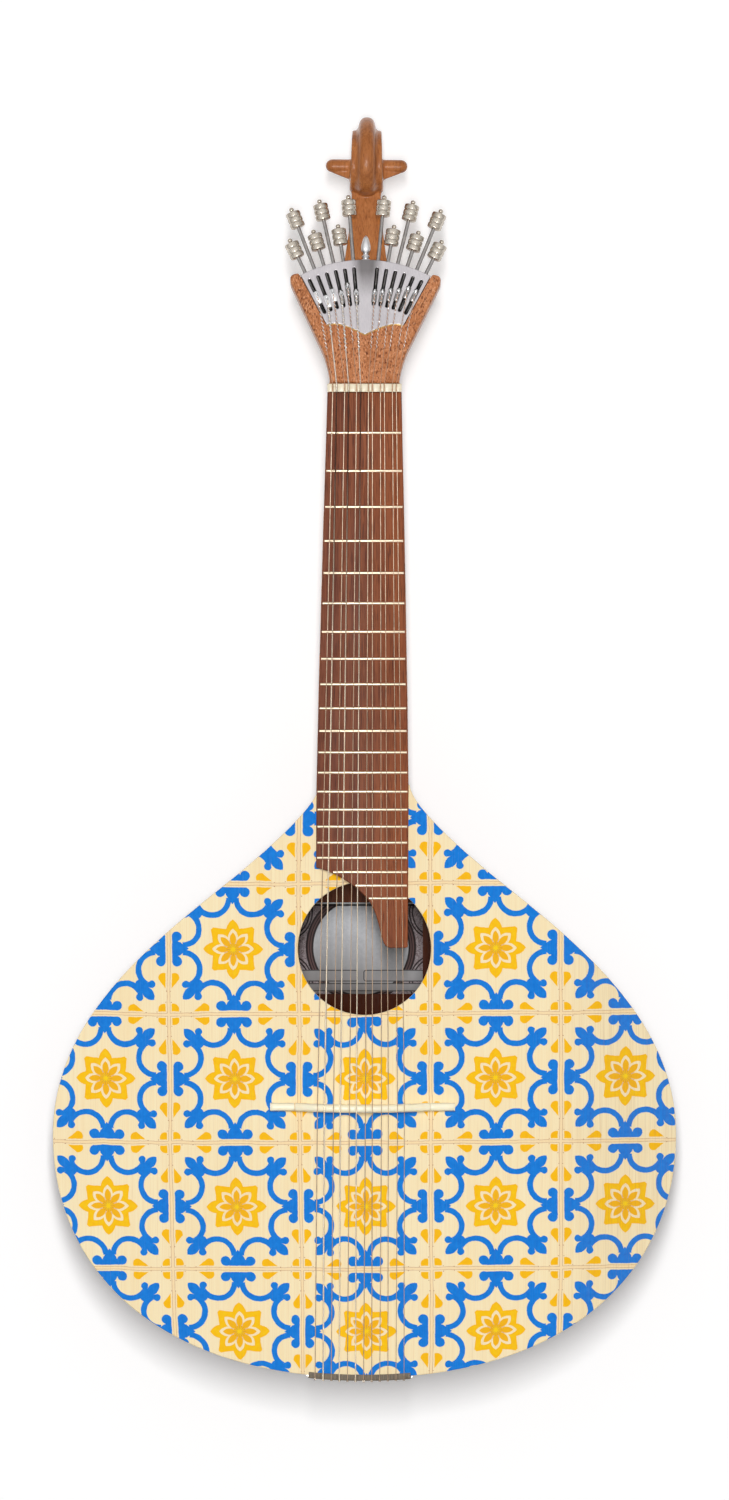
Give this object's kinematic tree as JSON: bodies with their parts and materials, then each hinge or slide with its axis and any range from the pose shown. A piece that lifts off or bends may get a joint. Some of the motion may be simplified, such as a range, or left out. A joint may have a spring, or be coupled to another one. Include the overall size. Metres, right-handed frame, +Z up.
{
  "type": "portuguese guitar",
  "caption": "Portuguese guitar with a pear-shaped body, tile-painted soundboard, carved scroll and a fan of screw tuners whose hooked sliders pull the strings.",
  "frame": {"origin": "middle of the guitar's length and width, on the flat underside of its back", "axes": "+X across the soundboard to the treble side, +Y from the tail to the scroll, +Z up out of the soundboard"},
  "size_m": [0.3816, 0.7759, 0.0834],
  "materials": {
    "painted_spruce": "satin lacquer over a painted tile pattern",
    "spruce": "bare",
    "mahogany": "satin lacquer",
    "carved_mahogany": "satin lacquer",
    "rosewood": "oiled",
    "bone": "polished",
    "brushed_steel": "brushed",
    "polished_steel": "polished",
    "nickel": "satin nickel",
    "dark_wood": "satin",
    "string_steel": "drawn and wound wire"
  },
  "bodies": {
    "guitar": {"back": "mahogany", "soundboard": "painted_spruce", "side_left": "mahogany", "side_right": "mahogany", "neck_block": "mahogany", "tail_block": "mahogany", "lining_soundboard_left": "spruce", "lining_soundboard_right": "spruce", "lining_back_left": "spruce", "lining_back_right": "spruce", "soundboard_brace_upper": "spruce", "soundboard_brace_middle": "spruce", "soundboard_brace_lower": "spruce", "back_brace_upper": "spruce", "back_brace_lower": "spruce", "neck": "carved_mahogany", "fingerboard": "rosewood", "nut": "bone", "bridge": "bone", "fan_plate": "brushed_steel", "fan_frame": "nickel", "fan_finial": "polished_steel", "tail_guard": "dark_wood", "tailpiece": "nickel", "string_01": "string_steel", "string_02": "string_steel", "string_03": "string_steel", "string_04": "string_steel", "string_05": "string_steel", "string_06": "string_steel", "string_07": "string_steel", "string_08": "string_steel", "string_09": "string_steel", "string_10": "string_steel", "string_11": "string_steel", "string_12": "string_steel"},
    "screw_01": {"tuner_screw_01": "nickel"},
    "screw_02": {"tuner_screw_02": "nickel"},
    "screw_03": {"tuner_screw_03": "nickel"},
    "screw_04": {"tuner_screw_04": "nickel"},
    "screw_05": {"tuner_screw_05": "nickel"},
    "screw_06": {"tuner_screw_06": "nickel"},
    "screw_07": {"tuner_screw_07": "nickel"},
    "screw_08": {"tuner_screw_08": "nickel"},
    "screw_09": {"tuner_screw_09": "nickel"},
    "screw_10": {"tuner_screw_10": "nickel"},
    "screw_11": {"tuner_screw_11": "nickel"},
    "screw_12": {"tuner_screw_12": "nickel"},
    "slider_01": {"tuner_slider_01": "polished_steel"},
    "slider_02": {"tuner_slider_02": "polished_steel"},
    "slider_03": {"tuner_slider_03": "polished_steel"},
    "slider_04": {"tuner_slider_04": "polished_steel"},
    "slider_05": {"tuner_slider_05": "polished_steel"},
    "slider_06": {"tuner_slider_06": "polished_steel"},
    "slider_07": {"tuner_slider_07": "polished_steel"},
    "slider_08": {"tuner_slider_08": "polished_steel"},
    "slider_09": {"tuner_slider_09": "polished_steel"},
    "slider_10": {"tuner_slider_10": "polished_steel"},
    "slider_11": {"tuner_slider_11": "polished_steel"},
    "slider_12": {"tuner_slider_12": "polished_steel"}
  },
  "joints": [
    {"name": "screw_01_turn", "type": "hinge", "parent": "guitar", "child": "screw_01", "pos_m": [-0.00008, 0.21582, 0.07324], "axis": [0.4235, -0.8922, 0.1566], "range_deg": [-4428, 5940]},
    {"name": "screw_02_turn", "type": "hinge", "parent": "guitar", "child": "screw_02", "pos_m": [-0.00008, 0.21582, 0.07324], "axis": [0.3577, -0.9198, 0.1616], "range_deg": [-1116, 9252]},
    {"name": "screw_03_turn", "type": "hinge", "parent": "guitar", "child": "screw_03", "pos_m": [-0.00008, 0.21582, 0.07324], "axis": [0.29, -0.9426, 0.1657], "range_deg": [-2916, 7452]},
    {"name": "screw_04_turn", "type": "hinge", "parent": "guitar", "child": "screw_04", "pos_m": [-0.00008, 0.21582, 0.07324], "axis": [0.2208, -0.9606, 0.169], "range_deg": [-1404, 8964]},
    {"name": "screw_05_turn", "type": "hinge", "parent": "guitar", "child": "screw_05", "pos_m": [-0.00008, 0.21582, 0.07324], "axis": [0.1505, -0.9736, 0.1714], "range_deg": [-4140, 6228]},
    {"name": "screw_06_turn", "type": "hinge", "parent": "guitar", "child": "screw_06", "pos_m": [-0.00008, 0.21582, 0.07324], "axis": [0.0795, -0.9817, 0.173], "range_deg": [-828, 9540]},
    {"name": "screw_07_turn", "type": "hinge", "parent": "guitar", "child": "screw_07", "pos_m": [-0.00008, 0.21582, 0.07324], "axis": [-0.0983, -0.98, 0.173], "range_deg": [-900, 9468]},
    {"name": "screw_08_turn", "type": "hinge", "parent": "guitar", "child": "screw_08", "pos_m": [-0.00008, 0.21582, 0.07324], "axis": [-0.1692, -0.9706, 0.1714], "range_deg": [-1332, 9036]},
    {"name": "screw_09_turn", "type": "hinge", "parent": "guitar", "child": "screw_09", "pos_m": [-0.00008, 0.21582, 0.07324], "axis": [-0.2392, -0.9561, 0.169], "range_deg": [-2484, 7884]},
    {"name": "screw_10_turn", "type": "hinge", "parent": "guitar", "child": "screw_10", "pos_m": [-0.00008, 0.21582, 0.07324], "axis": [-0.308, -0.9368, 0.1657], "range_deg": [-3492, 6876]},
    {"name": "screw_11_turn", "type": "hinge", "parent": "guitar", "child": "screw_11", "pos_m": [-0.00008, 0.21582, 0.07324], "axis": [-0.3753, -0.9127, 0.1616], "range_deg": [-5796, 4572]},
    {"name": "screw_12_turn", "type": "hinge", "parent": "guitar", "child": "screw_12", "pos_m": [-0.00008, 0.21582, 0.07324], "axis": [-0.4406, -0.8839, 0.1566], "range_deg": [-5868, 4500]},
    {"name": "slider_01_travel", "type": "slide", "parent": "guitar", "child": "slider_01", "axis": [-0.4235, 0.8922, -0.1566], "range_m": [-0.00617, 0.00827], "deforming": ["string_01"]},
    {"name": "slider_02_travel", "type": "slide", "parent": "guitar", "child": "slider_02", "axis": [-0.3577, 0.9198, -0.1616], "range_m": [-0.00157, 0.01287], "deforming": ["string_02"]},
    {"name": "slider_03_travel", "type": "slide", "parent": "guitar", "child": "slider_03", "axis": [-0.29, 0.9426, -0.1657], "range_m": [-0.00407, 0.01037], "deforming": ["string_03"]},
    {"name": "slider_04_travel", "type": "slide", "parent": "guitar", "child": "slider_04", "axis": [-0.2208, 0.9606, -0.169], "range_m": [-0.00197, 0.01247], "deforming": ["string_04"]},
    {"name": "slider_05_travel", "type": "slide", "parent": "guitar", "child": "slider_05", "axis": [-0.1505, 0.9736, -0.1714], "range_m": [-0.00577, 0.00867], "deforming": ["string_05"]},
    {"name": "slider_06_travel", "type": "slide", "parent": "guitar", "child": "slider_06", "axis": [-0.0795, 0.9817, -0.173], "range_m": [-0.00117, 0.01327], "deforming": ["string_06"]},
    {"name": "slider_07_travel", "type": "slide", "parent": "guitar", "child": "slider_07", "axis": [0.0983, 0.98, -0.173], "range_m": [-0.00127, 0.01317], "deforming": ["string_07"]},
    {"name": "slider_08_travel", "type": "slide", "parent": "guitar", "child": "slider_08", "axis": [0.1692, 0.9706, -0.1714], "range_m": [-0.00187, 0.01257], "deforming": ["string_08"]},
    {"name": "slider_09_travel", "type": "slide", "parent": "guitar", "child": "slider_09", "axis": [0.2392, 0.9561, -0.169], "range_m": [-0.00347, 0.01097], "deforming": ["string_09"]},
    {"name": "slider_10_travel", "type": "slide", "parent": "guitar", "child": "slider_10", "axis": [0.308, 0.9368, -0.1657], "range_m": [-0.00487, 0.00957], "deforming": ["string_10"]},
    {"name": "slider_11_travel", "type": "slide", "parent": "guitar", "child": "slider_11", "axis": [0.3753, 0.9127, -0.1616], "range_m": [-0.00807, 0.00637], "deforming": ["string_11"]},
    {"name": "slider_12_travel", "type": "slide", "parent": "guitar", "child": "slider_12", "axis": [0.4406, 0.8839, -0.1566], "range_m": [-0.00817, 0.00627], "deforming": ["string_12"]}
  ],
  "couplings": [
    {"joint": "slider_01_travel", "follows": "screw_01_turn", "m_per_rad": 0.000079577},
    {"joint": "slider_02_travel", "follows": "screw_02_turn", "m_per_rad": 0.000079577},
    {"joint": "slider_03_travel", "follows": "screw_03_turn", "m_per_rad": 0.000079577},
    {"joint": "slider_04_travel", "follows": "screw_04_turn", "m_per_rad": 0.000079577},
    {"joint": "slider_05_travel", "follows": "screw_05_turn", "m_per_rad": 0.000079577},
    {"joint": "slider_06_travel", "follows": "screw_06_turn", "m_per_rad": 0.000079577},
    {"joint": "slider_07_travel", "follows": "screw_07_turn", "m_per_rad": 0.000079577},
    {"joint": "slider_08_travel", "follows": "screw_08_turn", "m_per_rad": 0.000079577},
    {"joint": "slider_09_travel", "follows": "screw_09_turn", "m_per_rad": 0.000079577},
    {"joint": "slider_10_travel", "follows": "screw_10_turn", "m_per_rad": 0.000079577},
    {"joint": "slider_11_travel", "follows": "screw_11_turn", "m_per_rad": 0.000079577},
    {"joint": "slider_12_travel", "follows": "screw_12_turn", "m_per_rad": 0.000079577}
  ]
}
